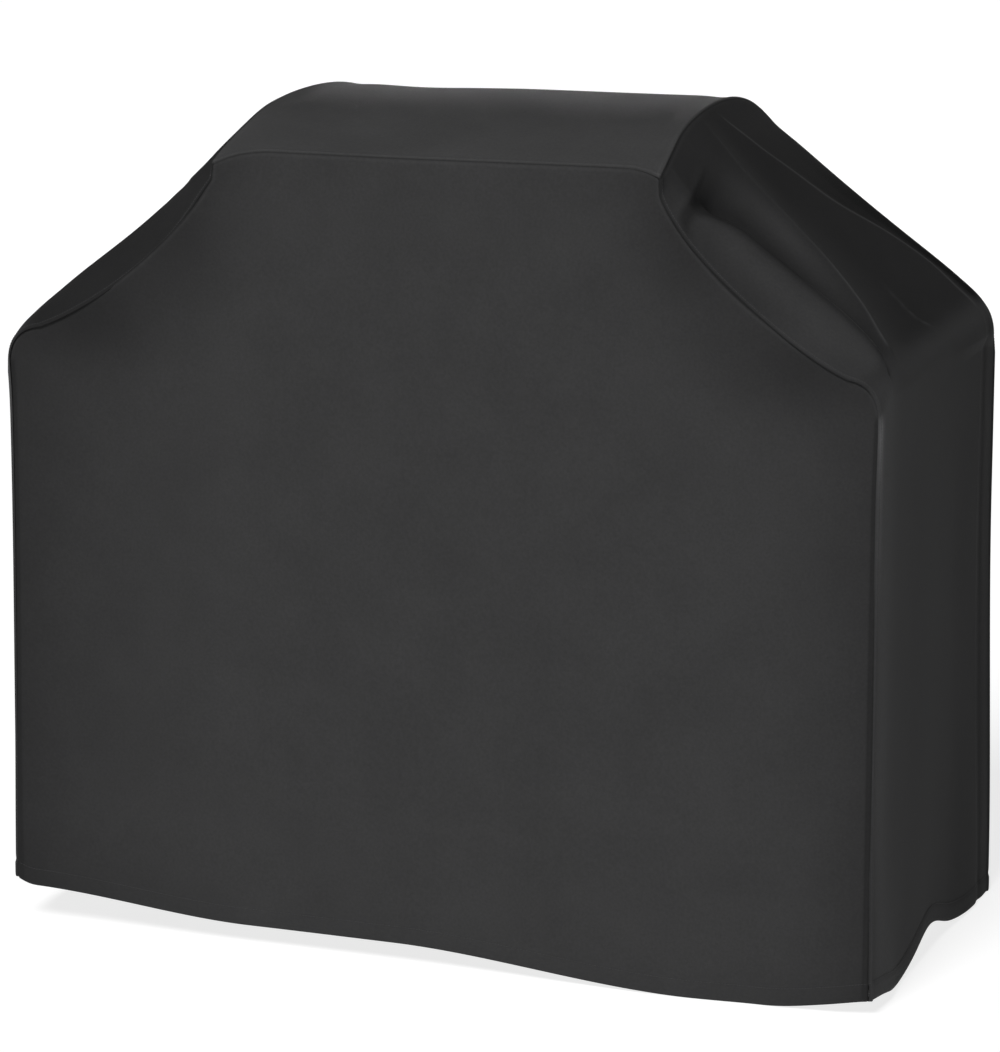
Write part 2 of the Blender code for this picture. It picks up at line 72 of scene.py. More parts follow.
# The cut's shape, as in the frame
SHELF_Z = 0.872
SHOULDER_RADIUS = 0.032
BOW = 0.050
SLOPE_END = 0.90
CROWN_ROUNDNESS = 2.2
CORNER_DROP = 0.012
CORNER_REACH = 0.050
TOP_Z = SEAM_Z - CORNER_DROP
EYELET_HOLE = 0.0027
CLOTH = 0.0008
FLAT_WELT = 0.0008
WELT = 0.0026
WELT_WIDTH = 0.0065
GROOVE = 0.0014
GROOVE_WIDTH = 0.0012
HEM_FOLD = 0.026
FAR = 9.0

# The drawcord, and the strips folded round it
CORD_RADIUS = 0.0015
CORD_INSET = 0.0056
CASING_THICKNESS = 0.0006


# ------------------------ camera


def make_camera():
    """A long lens at the front right, a little above the crown."""
    data = bpy.data.cameras.new("camera")
    data.sensor_width = 36.0
    data.lens = 154.1
    camera = bpy.data.objects.new("camera", data)
    camera.location = (2.1063, -5.9288, 1.9951)
    camera.rotation_euler = Euler((math.radians(90 - 12.828), 0.0, math.radians(19.709)))
    bpy.context.scene.collection.objects.link(camera)
    bpy.context.scene.camera = camera


make_camera()


# ------------------------ small maths


def smoothstep(low, high, value):
    t = np.clip((np.asarray(value, float) - low) / (high - low), 0.0, 1.0)
    return t * t * (3 - 2 * t)


def bump(value, middle, width):
    return np.exp(-(((np.asarray(value, float) - middle) / width) ** 2))


def crease(value, middle, width):
    """A sharper ridge than bump, as a fold line in stiff cloth."""
    away = np.abs(np.asarray(value, float) - middle) / width
    return np.exp(-np.sqrt(away**2 + 0.04) + 0.2)


def spline(knots, values, at):
    """Smooth curve through values at knots (Catmull-Rom), read at many places."""
    knots = np.asarray(knots, float)
    values = np.asarray(values, float)
    at = np.asarray(at, float)
    tangent = np.gradient(values, knots, axis=0)
    index = np.clip(np.searchsorted(knots, at, side="right") - 1, 0, len(knots) - 2)
    width = knots[index + 1] - knots[index]
    t = (at - knots[index]) / width
    if values.ndim > 1:
        t, width = t[:, None], width[:, None]
    first, last = values[index], values[index + 1]
    lean0, lean1 = tangent[index] * width, tangent[index + 1] * width
    return (
        (2 * t**3 - 3 * t**2 + 1) * first
        + (t**3 - 2 * t**2 + t) * lean0
        + (3 * t**2 - 2 * t**3) * last
        + (t**3 - t**2) * lean1
    )


def graded(length, coarse=0.006, fine=0.0012, band=0.014):
    """Places from 0 to length, close together near both ends."""
    near = np.arange(0.0, band, fine)
    grow = [band]
    step = fine
    while step < coarse:
        step *= 1.35
        grow.append(grow[-1] + min(step, coarse))
    head = np.concatenate([near, grow])
    middle = length - 2 * head[-1]
    count = max(int(round(middle / coarse)), 2)
    inner = head[-1] + middle * np.arange(1, count) / count
    return np.concatenate([head, inner, length - head[::-1]])


def waves(u, v, seed, count=5, low=2.0, high=9.0):
    """Soft irregular undulation from a few sine waves, between about -1 and 1."""
    rng = np.random.default_rng(seed)
    total = np.zeros(np.broadcast(u, v).shape)
    for _ in range(count):
        turn = rng.uniform(0, 2 * math.pi)
        rate = rng.uniform(low, high)
        phase = rng.uniform(0, 2 * math.pi)
        total += np.sin(rate * (u * math.cos(turn) + v * math.sin(turn)) * 2 + phase)
    return total / count


# ------------------------ the cover's shape


def crown_end(x):
    """0 over most of the crown, rising to 1 at its two ends."""
    return np.clip((np.abs(x) - CROWN_X + CORNER_REACH) / CORNER_REACH, 0, 1) ** 2


def crown_height(y, x):
    across = np.minimum(np.abs(y - MID_Y) / (DEPTH / 2), 1.0)
    drop = CORNER_DROP * across**4
    return SEAM_Z + CROWN_RISE * (1 - across**CROWN_ROUNDNESS) - drop * crown_end(x)


def front_hem(x):
    middle = 0.030 * (1 - smoothstep(-0.06, 0.38, x))
    left = 0.026 * smoothstep(0.28, SIDE_X, -np.asarray(x, float))
    left = left + 0.009 * np.clip((-np.asarray(x, float) - 0.605) / 0.030, 0, 1) ** 2
    right = 0.0225 * smoothstep(0.48, 0.66, x)
    return middle + left + right


def back_hem(x):
    return 0.010 * smoothstep(0.45, SIDE_X, -np.asarray(x, float))


def side_hem(y, side):
    part = (np.asarray(y, float) - FRONT_Y) / DEPTH
    ends = front_hem(side * SIDE_X) * (1 - part) + back_hem(side * SIDE_X) * part
    inside = smoothstep(0.0, 0.15, part) * smoothstep(0.0, 0.15, 1 - part)
    scoop = 0.027 * bump(part, 0.51, 0.13) - 0.012 * bump(part, 0.22, 0.12)
    return ends + scoop * inside


def raised(z, hem):
    """Height on a panel whose lower edge is lifted by hem, fading out half way up."""
    return z + hem * (1 - smoothstep(0.0, 0.55, z))


def lean(points):
    """The ends lean a few millimetres in at the shelf and out towards the hem."""
    x, y, z = points[..., 0], points[..., 1], points[..., 2]
    deep = np.clip((y - FRONT_Y) / DEPTH, 0, 1)
    right_front = -0.0085 - 0.0015 * smoothstep(0.0, 0.11, 0.81 - z)
    right_back = 0.006 - 0.009 * smoothstep(0.05, 0.60, z)
    left_front = 0.004 - 0.006 * smoothstep(0.10, 0.70, z) + 0.005 * bump(z, 0.86, 0.06)
    left_back = 0.005 - 0.014 * smoothstep(0.05, 0.85, z)
    right = right_front * (1 - deep) + right_back * deep
    left = left_front * (1 - deep) + left_back * deep
    amount = np.where(x > 0, right, left) * (np.abs(x) / SIDE_X) ** 3
    moved = points.copy()
    moved[..., 0] += np.sign(x) * amount * smoothstep(0.0, 0.13, 0.95 - z)
    return moved


def draw_in(points):
    """The crown's ends are drawn in towards the back, one corner sags and the top tilts."""
    x, y, z = points[..., 0], points[..., 1], points[..., 2]
    deep = np.clip((y - FRONT_Y) / DEPTH, 0, 1)
    high = np.clip((z - SHELF_Z) / (TOP_Z - SHELF_Z), 0, 1)
    amount = 0.011 * smoothstep(0.0, 0.22, deep) + 0.013 * np.clip((deep - 0.2) / 0.8, 0, 1)
    right = 0.0060 * smoothstep(0.25, 0.75, deep) - 0.0030 * bump(deep, 0.14, 0.10)
    amount = amount + right * high**2 * (x > 0)
    moved = points.copy()
    moved[..., 0] -= np.sign(x) * amount * smoothstep(0.08, CROWN_X, np.abs(x)) * high
    corner = smoothstep(0.235, 0.315, -x) * (1 - smoothstep(0.0, 0.30, deep))
    moved[..., 2] -= 0.009 * corner * smoothstep(TOP_Z - 0.050, TOP_Z - 0.005, z)
    tilt = 0.0015 + 0.0035 * np.clip(x / CROWN_X, -0.2, 1)
    moved[..., 2] += tilt * smoothstep(SEAM_Z - 0.12, SEAM_Z + 0.04, z)
    return moved


def bow(t):
    return BOW * np.sqrt(np.maximum(4 * t * (1 - t), 0.0))


def profile(bowed, slope_steps=96, corner_steps=16):
    """(x, z) from the crown's end down the slope, round the shelf, to the floor.

    Also returns t: 0 at the crown, 1 at the middle of the shelf's edge, 2 at the floor.
    """
    run, drop = SIDE_X - CROWN_X, TOP_Z - SHELF_Z
    length = math.hypot(run, drop)
    t = SLOPE_END * (1 - np.cos(math.pi / 2 * np.arange(slope_steps + 1) / slope_steps))
    sag = bow(t) * bowed
    x = np.maximum(CROWN_X + run * t - sag * drop / length, CROWN_X)
    z = TOP_Z - drop * t - sag * run / length
    start = np.array([x[-1], z[-1]])
    corner = np.array([SIDE_X - 0.005 * bowed, SHELF_Z - 0.004 * bowed])
    end = np.array([SIDE_X, SHELF_Z - SHOULDER_RADIUS - 0.020 * bowed])
    u = (np.arange(1, corner_steps + 1) / corner_steps)[:, None]
    turn = start * (1 - u) ** 2 + corner * 2 * u * (1 - u) + end * u * u
    down = end[1] * (1 - UPRIGHT)
    straight = np.stack([np.full(len(down), SIDE_X), down], 1)
    shape = np.concatenate([np.stack([x, z], 1), turn, straight])
    corner_t = SLOPE_END + (1 - SLOPE_END) * 2 * u[:, 0]
    return shape, np.concatenate([t, corner_t, np.full(len(down), 2.0)])


def upright_places():
    """Shares of the way down the upright, close together at the hem."""
    height = SHELF_Z - SHOULDER_RADIUS
    places = graded(height, 0.0085, 0.0013, 0.010) / height
    return places[places > 0.02]


UPRIGHT = upright_places()
EDGE, PROFILE_T = profile(1.0)
STRAIGHT, _ = profile(0.0)


def half_width(z):
    """Half the front panel's width at a height."""
    return np.interp(z, EDGE[::-1, 1], EDGE[::-1, 0])


def away_from_edge(x, z):
    """Distance in the panel's plane from the sewn edge of its slope and upright."""
    nearest = np.full(x.shape, FAR)
    across = np.abs(x)
    for (ax, az), (bx, bz) in zip(EDGE[:-1], EDGE[1:]):
        dx, dz = bx - ax, bz - az
        size = dx * dx + dz * dz
        if size < 1e-14:
            continue
        share = np.clip(((across - ax) * dx + (z - az) * dz) / size, 0, 1)
        gap = np.hypot(across - ax - share * dx, z - az - share * dz)
        nearest = np.minimum(nearest, gap)
    return nearest


def seam_relief(away, welt):
    """Height of the cloth beside a seam: a fine groove, then the raised allowance."""
    rise = welt * smoothstep(0.0, 0.0022, away) * (1 - smoothstep(0.5, 1.5, away / WELT_WIDTH))
    return rise - GROOVE * np.exp(-((away / GROOVE_WIDTH) ** 2))


def hem_relief(up):
    """The folded hem is a little thicker, with a fine groove along its stitching."""
    fold = 0.0010 * smoothstep(-0.002, 0.002, HEM_FOLD - up)
    return fold - 0.0009 * bump(up, HEM_FOLD, 0.0018) - 0.0010 * np.exp(-up / 0.002)


def scuffed_edges_and_seam_shade(*distances):
    """Cloth scuffed paler beside its seams, and painted shade down in the stitched line itself."""
    pale = sum(0.30 * bump(away, 0.0045, 0.0025) for away in distances)
    return pale - sum(0.95 * np.exp(-((away / 0.0022) ** 2)) for away in distances)


def painted_shade_near(away, amount, reach):
    """Painted shade: the cloth darkened within a reach of a seam or of the hem."""
    return -amount * np.exp(-((away / reach) ** 1.5))


# ------------------------ mesh helpers


def link(obj):
    bpy.context.scene.collection.objects.link(obj)
    return obj


def grid_normals(points):
    along = np.gradient(points, axis=0)
    across = np.gradient(points, axis=1)
    normal = np.cross(across, along)
    return normal / np.maximum(np.linalg.norm(normal, axis=2, keepdims=True), 1e-12)


def outward_normals(points, outward):
    normal = grid_normals(points)
    middle = normal[points.shape[0] // 2, points.shape[1] // 2]
    return normal if middle @ np.asarray(outward, float) > 0 else -normal


def running_length(points, axis):
    """Distance along the grid lines from their first point."""
    steps = np.linalg.norm(np.diff(points, axis=axis), axis=2)
    first = np.zeros_like(steps[:1]) if axis == 0 else np.zeros_like(steps[:, :1])
    return np.concatenate([first, np.cumsum(steps, axis=axis)], axis=axis)


def grid_faces(rows, cols, keep=None, flip=False):
    index = np.arange(rows * cols).reshape(rows, cols)
    a, b = index[:-1, :-1], index[:-1, 1:]
    c, d = index[1:, 1:], index[1:, :-1]
    faces = np.stack((a, d, c, b) if flip else (a, b, c, d), -1).reshape(-1, 4)
    return faces if keep is None else faces[keep.reshape(-1)]


def mesh_object(name, points, faces, materials, uv=None, wear_and_painted_light=None):
    """A mesh of four-sided faces. uv and the paler-or-darker values (scuffing, painted light and
    painted shade) are per point.
    """
    mesh = bpy.data.meshes.new(name)
    mesh.vertices.add(len(points))
    mesh.vertices.foreach_set("co", np.asarray(points, np.float32).ravel())
    mesh.loops.add(len(faces) * 4)
    mesh.loops.foreach_set("vertex_index", faces.astype(np.int32).ravel())
    mesh.polygons.add(len(faces))
    mesh.polygons.foreach_set("loop_start", np.arange(0, len(faces) * 4, 4, dtype=np.int32))
    mesh.update(calc_edges=True)
    if uv is not None:
        layer = mesh.uv_layers.new(name="cloth")
        layer.uv.foreach_set("vector", np.asarray(uv, np.float32)[faces.ravel()].ravel())
    if wear_and_painted_light is not None:
        paint = mesh.attributes.new("wear_and_painted_light", "FLOAT", "POINT")
        paint.data.foreach_set("value", np.asarray(wear_and_painted_light, np.float32).ravel())
    mesh.shade_smooth()
    for material in materials:
        mesh.materials.append(material)
    return link(bpy.data.objects.new(name, mesh))


def thicken(obj, thickness, offset=-1.0, lining=0):
    solidify = obj.modifiers.new("thickness", "SOLIDIFY")
    solidify.thickness = thickness
    solidify.offset = offset
    solidify.material_offset = lining
    return obj


def cloth_sheet(name, panel, materials):
    """A panel's grid as cloth, thickened inwards, with its own weave direction."""
    points = panel["points"]
    flip = not np.allclose(outward_normals(points, panel["outward"]), grid_normals(points))
    faces = grid_faces(*points.shape[:2], keep=panel.get("keep"), flip=flip)
    uv = panel["uv"].reshape(-1, 2)
    obj = mesh_object(name, points.reshape(-1, 3), faces, materials, uv, panel["wear_and_painted_light"])
    return thicken(obj, CLOTH, lining=1)


# ------------------------ front and back panels


def flat_panel(hem, side_y, outward, relief, across, height):
    """A front or back panel. outward is -1 for the front and +1 for the back."""
    z0 = height[:, None] + 0 * across[None, :]
    top_pull = CORNER_DROP * smoothstep(SEAM_Z - 0.10, SEAM_Z, height)
    half = half_width(height - top_pull)[:, None]
    x = across[None, :] * half
    lowered = z0 - top_pull[:, None] * crown_end(x)
    edge = away_from_edge(x, lowered)
    top = SEAM_Z - z0
    away_top = np.where(np.abs(x) < CROWN_X + 0.002, top, np.maximum(top, edge))
    out = relief(x, z0)
    out -= 0.0026 * np.exp(-edge / 0.008) + 0.0014 * np.exp(-away_top / 0.006)
    out += seam_relief(edge, FLAT_WELT) + seam_relief(away_top, FLAT_WELT / 2) + hem_relief(z0)
    points = np.stack([x, side_y + outward * out, raised(lowered, hem(x))], -1)
    return {
        "points": draw_in(lean(points)),
        "uv": np.stack([x + 3.0, z0], -1),
        # the cloth's tone: scuffed edges, with painted shade in the seams and over the panel
        "wear_and_painted_light": np.clip(scuffed_edges_and_seam_shade(edge, away_top) + flat_painted_shade(x, z0, edge), -1, 7),
        "outward": (0, outward, 0),
        "edge": edge,
        "low": z0,
        "top": away_top,
    }


def flat_painted_shade(x, z, edge):
    """Painted shade: darker towards the ends, beside the slopes and down in the corner seams."""
    tone = painted_shade_near(edge, 0.42, 0.075) + painted_shade_near(z, 0.15, 0.05)
    # painted shade in the corner seam's groove, below the shelf
    tone -= 1.1 * bump(edge, 0.0055, 0.0032) * smoothstep(0.0, 0.02, 0.830 - z)
    # painted shade over the left end and the right edge
    tone -= 0.30 * smoothstep(0.25, 0.60, -x) + 0.15 * smoothstep(0.45, 0.60, x)
    # painted shade under the crown's corners and under the shoulders
    tone -= 0.30 * bump(np.abs(x), 0.36, 0.06) * bump(z, 1.02, 0.10)
    tone -= 0.35 * bump(np.abs(x), 0.50, 0.10) * bump(z, 0.88, 0.06)
    return tone


def front_relief(x, z):
    """How far the taut front stands out from flat: soft hollows and upright swags."""
    middle = 1 - (np.abs(x) / SIDE_X) ** 3
    out = 0.004 * middle * smoothstep(0.0, 0.25, z) * smoothstep(0.0, 0.2, SEAM_Z - z)
    out += 0.0016 * waves(x, z, 11, 6, 1.5, 4.0)
    out -= 0.010 * bump(x, 0.47, 0.13) * bump(z, 0.85, 0.08)
    out -= 0.006 * bump(x, 0.34, 0.05) * bump(z, 1.02, 0.10)
    out -= 0.007 * bump(x, -0.49, 0.13) * bump(z, 0.86, 0.08)
    stripe = bump(x, 0.470, 0.060) - bump(x, 0.590, 0.035)
    out -= 0.0035 * stripe * smoothstep(0.0, 0.3, 0.75 - z)
    low = smoothstep(0.0, 0.22, 0.22 - z)
    out += low * (0.003 + 0.005 * np.sin(x * 5.2 + 0.4))
    return out


def back_relief(x, z):
    middle = 1 - (np.abs(x) / SIDE_X) ** 3
    out = 0.004 * middle * smoothstep(0.0, 0.25, z) * smoothstep(0.0, 0.2, SEAM_Z - z)
    out += 0.0022 * waves(x, z, 23, 6, 1.5, 5.0)
    for side in (-1, 1):
        out -= 0.008 * bump(x, side * 0.48, 0.13) * bump(z, 0.83, 0.10)
        out -= 0.0040 * bump(np.abs(x), 0.10 + 0.12 * z, 0.03) * smoothstep(0.0, 0.3, 0.35 - z)
    low = smoothstep(0.0, 0.22, 0.22 - z)
    out += 0.0035 * low * np.sin(x * 9.0 + 1.0)
    eyelets = smoothstep(0.02, 0.11, np.hypot(x, z - CORD_Z))
    return out * eyelets


def front_panel():
    across = graded(2 * SIDE_X, 0.0078) / SIDE_X - 1
    height = graded(SEAM_Z, 0.0068)
    return flat_panel(front_hem, FRONT_Y, -1, front_relief, across, height)


def back_panel():
    """The back panel is drawn more finely round the eyelets, which pierce it."""
    across = graded(2 * SIDE_X, 0.0085) / SIDE_X - 1
    middle = np.arange(-0.018, 0.0181, 0.001) / SIDE_X
    across = np.concatenate([across[across < -0.032], middle, across[across > 0.032]])
    height = graded(SEAM_Z, 0.0072)
    fine = np.arange(0.008, 0.0341, 0.001)
    height = np.concatenate([height[height < 0.0072], fine, height[height > 0.0355]])
    panel = flat_panel(back_hem, BACK_Y, 1, back_relief, across, height)
    points = panel["points"]
    middles = (points[1:, 1:] + points[:-1, :-1]) / 2
    holes = np.abs(np.abs(middles[..., 0]) - CORD_X)
    panel["keep"] = np.hypot(holes, middles[..., 2] - CORD_Z) > EYELET_HOLE
    return panel


# ------------------------ crown


def crown_panel():
    depth = graded(DEPTH, 0.005)
    across = graded(2 * CROWN_X) - CROWN_X
    y = FRONT_Y + depth[:, None] + 0 * across[None, :]
    x = across[None, :] + 0 * y
    base = np.stack([x, y, crown_height(y, x)], -1)
    ends = CROWN_X - np.abs(x)
    edge = np.minimum(depth, DEPTH - depth)[:, None] + 0 * x
    calm = smoothstep(0.0, 0.08, edge)
    out = 0.0018 * waves(x * 1.2, y, 5, 6, 2.0, 6.0) * calm
    out -= (0.0015 * bump(ends, 0.03, 0.02) + 0.0040 * bump(x, -0.18, 0.10)) * calm
    out -= 0.0014 * np.exp(-ends / 0.006) + 0.0010 * np.exp(-edge / 0.006)
    out += seam_relief(edge, 0.0012) + seam_relief(ends, 0.0012)
    points = base + outward_normals(base, (0, 0, 1)) * out[..., None]
    # scuffed edges, painted shade in the seam lines, and paler in a band along the crown's apex
    wear_and_painted_light = scuffed_edges_and_seam_shade(ends, edge) + 0.2 * bump(y, MID_Y, 0.10)
    return {
        "points": draw_in(points),
        "uv": np.stack([x + 9.0, depth[:, None] + 0 * x], -1),
        "wear_and_painted_light": np.clip(wear_and_painted_light, -1, 7),
        "outward": (0, 0, 1),
        "ends": ends,
        "edge": edge,
    }


# ------------------------ end panels

# Fold lines of a shoulder, from the front seam to the back one. The cloth swells from
# the bowed seam to a crest, drops into a valley, climbs to a first crease, hollows, and
# climbs to a second crease before it falls away to the back seam.
SLOPE_KNOTS = (0.0, 0.10, 0.14, 0.20, 0.30, 0.45, 0.60, 0.75, 0.90, 1.0, 1.1)
CREST_DEPTH = (0.032, 0.030, 0.030, 0.046, 0.060, 0.068, 0.078, 0.086, 0.080, 0.055, 0.052)
CREST_SINK = (0.0, 0.006, 0.012, 0.018, 0.009, 0.004, 0.001, -0.001, -0.001, 0.000, 0.0)
VALLEY_STEP = (0.016, 0.020, 0.026, 0.036, 0.042, 0.040, 0.030, 0.020, 0.024, 0.018, 0.014)
VALLEY_SINK = (0.0, 0.008, 0.018, 0.034, 0.032, 0.029, 0.027, 0.026, 0.030, 0.006, 0.0)
FIRST_DEPTH = (0.208, 0.196, 0.191, 0.185, 0.182, 0.179, 0.173, 0.155, 0.130, 0.122, 0.120)
FIRST_SINK = (0.0, -0.002, -0.003, -0.004, -0.005, -0.006, -0.006, -0.004, 0.002, 0.003, 0.0)
HOLLOW_SINK = (0.0, 0.003, 0.005, 0.008, 0.011, 0.014, 0.017, 0.020, 0.022, 0.002, 0.0)
SECOND_DEPTH = (0.270, 0.292, 0.302, 0.320, 0.352, 0.400, 0.470, 0.515, 0.525, 0.530, 0.530)
SECOND_SINK = (0.0, -0.001, -0.002, -0.002, -0.003, -0.004, -0.004, -0.002, 0.001, 0.0, 0.0)
BACK_ROLL = (0.572, 0.596)

# Where those lines fall across the sheet, and the four of them that are sharp
FOLD_PLACES = (
    0, 0.032, 0.062, 0.092, 0.114, 0.150, 0.190,
    0.250, 0.330, 0.430, 0.520, 0.595, 0.630, 0.660,
)
SHARP_PLACES = (3, 4, 6, 9)

# Rows nearest the crown, too close together to give a direction of their own
TIGHT_ROWS = 6


def fold_columns():
    """Places across the panel, close together at its seams and along its fold lines."""
    total = FOLD_PLACES[-1]
    sharp = [FOLD_PLACES[i] for i in SHARP_PLACES]
    places = [0.0]
    while places[-1] < total:
        here = places[-1]
        step = 0.0046
        near = min(abs(here - line) for line in sharp)
        step = min(step, 0.0016 + 0.16 * near)
        end = min(here, total - here)
        step = min(step, 0.0012 + 0.10 * max(end - 0.010, 0.0))
        places.append(here + step)
    places = np.array(places)
    return places * total / places[-1]


def fold_line(values, t):
    return spline(SLOPE_KNOTS, values, np.minimum(t, SLOPE_KNOTS[-1]))


def shoulder_section(places, strength):
    """Depth, share of the seam's bow and sink under the slope at each grid point."""
    t = PROFILE_T
    crest = fold_line(CREST_DEPTH, t)
    crest_sink = fold_line(CREST_SINK, t) * strength
    valley = crest + fold_line(VALLEY_STEP, t)
    valley_sink = fold_line(VALLEY_SINK, t) * strength
    first = fold_line(FIRST_DEPTH, t)
    first_sink = fold_line(FIRST_SINK, t) * strength
    second = fold_line(SECOND_DEPTH, t)
    second_sink = fold_line(SECOND_SINK, t) * strength
    hollow = fold_line(HOLLOW_SINK, t) * strength
    zero = 0 * t
    shelf = zero + BACK_ROLL[0]
    knots_depth = (
        zero, 0.26 * crest, 0.60 * crest, crest, valley,
        valley + 0.40 * (first - valley), first, first + 0.22 * (second - first),
        first + 0.55 * (second - first), second, second + 0.5 * (shelf - second),
        shelf, zero + BACK_ROLL[1], zero + DEPTH,
    )
    knots_share = (1, 0.64, 0.28, 0, 0, 0, 0, 0, 0, 0, 0, 0.05, 0.42, 1)
    knots_sink = (
        zero, zero, 0.2 * crest_sink, crest_sink, valley_sink,
        first_sink + 0.40 * (valley_sink - first_sink), first_sink,
        first_sink + 0.60 * (hollow - first_sink), hollow, second_sink,
        zero + 0.002, zero, zero, zero,
    )
    share_rows = [zero + value for value in knots_share]
    table = np.stack([knots_depth, share_rows, knots_sink], -1)
    parts = []
    last = len(FOLD_PLACES) - 1
    for low, high in zip((0, *SHARP_PLACES), (*SHARP_PLACES, last)):
        inside = (places >= FOLD_PLACES[low]) & (places < FOLD_PLACES[high])
        if high == last:
            inside |= places >= FOLD_PLACES[last]
        knots = FOLD_PLACES[low : high + 1]
        values = table[low : high + 1].reshape(len(knots), -1)
        parts.append(spline(knots, values, places[inside]))
    full = np.concatenate(parts).reshape(len(places), len(t), 3).transpose(1, 0, 2)
    for _ in range(2):
        full[:, 1:-1] = (full[:, :-2] + 2 * full[:, 1:-1] + full[:, 2:]) / 4
    return full[..., 0], full[..., 1], full[..., 2], (crest, valley, first, second)


def end_panel(side):
    places = fold_columns()
    strength = 1.0 if side > 0 else 0.45
    d, share, sink, lines = shoulder_section(places, strength)
    if side < 0:
        slack = smoothstep(0.10, 0.35, PROFILE_T) * smoothstep(0.1, 0.6, 1.0 - PROFILE_T)
        sink = sink + 0.010 * slack[:, None] * bump(d, 0.09, 0.09)
    else:
        lower = bump(PROFILE_T, 0.09, 0.07)[:, None] * smoothstep(0.30, 0.50, d)
        sink = sink + 0.0020 * lower
    fuller = smoothstep(0.3, 0.9, PROFILE_T) * smoothstep(0.0, 0.3, 1.5 - PROFILE_T)
    fuller = fuller[:, None] * smoothstep(0.36, 0.50, d) * smoothstep(0.0, 0.04, DEPTH - d)
    sink = sink - 0.007 * fuller
    t = PROFILE_T[:, None] + 0 * d
    y = FRONT_Y + d
    arch = crown_height(y, np.full_like(y, CROWN_X)) - TOP_Z
    arch = arch * np.maximum(1 - t, 0)
    tangent = np.gradient(STRAIGHT, axis=0)
    tangent /= np.linalg.norm(tangent, axis=1, keepdims=True)
    out_x, out_z = -tangent[:, None, 1], tangent[:, None, 0]
    gap = EDGE - STRAIGHT
    x = STRAIGHT[:, None, 0] + share * gap[:, None, 0] - sink * out_x
    z = STRAIGHT[:, None, 1] + share * gap[:, None, 1] - sink * out_z + arch
    x = np.maximum(x, CROWN_X)
    upright = t > 1.2
    low = z
    z = np.where(upright, raised(z, side_hem(y, side)), z)
    base = np.stack([side * x, y, z], -1)
    outward = (side, 0, 0.2)
    across = running_length(base, 1)
    edge = np.minimum(across, across[:, -1:] - across)
    top = running_length(base, 0)
    out = shoulder_details(t, d, edge, side)
    out += upright_relief(d, z) * smoothstep(0.85, 1.15, t)
    calm = smoothstep(0.01, 0.08, edge) * smoothstep(0.0, 0.05, top)
    out += 0.0016 * waves(y, top, 31 + side, 6, 2.0, 7.0) * calm
    out -= 0.0016 * np.exp(-edge / 0.006) + 0.0010 * np.exp(-top / 0.005)
    welt = FLAT_WELT + (WELT - FLAT_WELT) * smoothstep(1.0, 1.8, t)
    out += seam_relief(edge, welt) + seam_relief(top, FLAT_WELT / 2)
    out += hem_relief(low) * upright
    normal = outward_normals(base, outward)
    normal[:TIGHT_ROWS] = normal[TIGHT_ROWS]
    points = base + normal * out[..., None]
    # scuffed edges and painted shade in the seam lines, paler along the shoulder's edge, then
    # painted light and shade on the slope and upright
    wear_and_painted_light = scuffed_edges_and_seam_shade(edge, top) + 0.20 * bump(t, 1.0, 0.06)
    wear_and_painted_light += slope_painted_light(t, d, lines, side) + upright_painted_light(t, d, z)
    behind = d - lines[3][:, None]
    # painted shade behind the second crease of the right slope
    painted_back_shade = 0.60 * smoothstep(0.006, 0.022, behind) * smoothstep(0.15, 0.50, t)
    painted_back_shade = painted_back_shade * smoothstep(0.0, 0.07, 0.98 - t) * (side > 0)
    return {
        "points": draw_in(lean(points)),
        "uv": np.stack([y + 15.0 + 3 * side, -top], -1),
        "wear_and_painted_light": np.clip(wear_and_painted_light, -1, 7) - painted_back_shade,
        "outward": outward,
        "edge": edge,
        "across": across,
        "low": np.where(upright, low, FAR),
        "top": top,
    }


def third_crease(t):
    """Depth of the short crease between the first and the second, low on the slope."""
    return 0.350 + 0.12 * (t - 0.75)


def crease_highlight_and_scuffing(t, d, lines):
    """Fine paler lines along the folds: painted highlights on the creases, and scuffing where folds
    have set in the cloth.
    """
    crest, _, first, second = (line[:, None] for line in lines)
    slope = smoothstep(0.02, 0.10, t) * smoothstep(0.0, 0.06, 0.99 - t)
    wear_and_light_marks = 1.5 * bump(d, crest, 0.0028) * smoothstep(0.50, 0.75, t)
    wear_and_light_marks += 1.5 * bump(d, first, 0.0028) * (0.35 + 0.65 * smoothstep(0.4, 0.7, t))
    wear_and_light_marks = wear_and_light_marks * smoothstep(0.0, 0.05, 0.93 - t)
    wear_and_light_marks += 1.5 * bump(d, second, 0.0032)
    third = bump(d, third_crease(t), 0.0030)
    wear_and_light_marks += 0.9 * third * smoothstep(0.72, 0.80, t) * smoothstep(0, 0.05, 0.96 - t)
    return wear_and_light_marks * slope


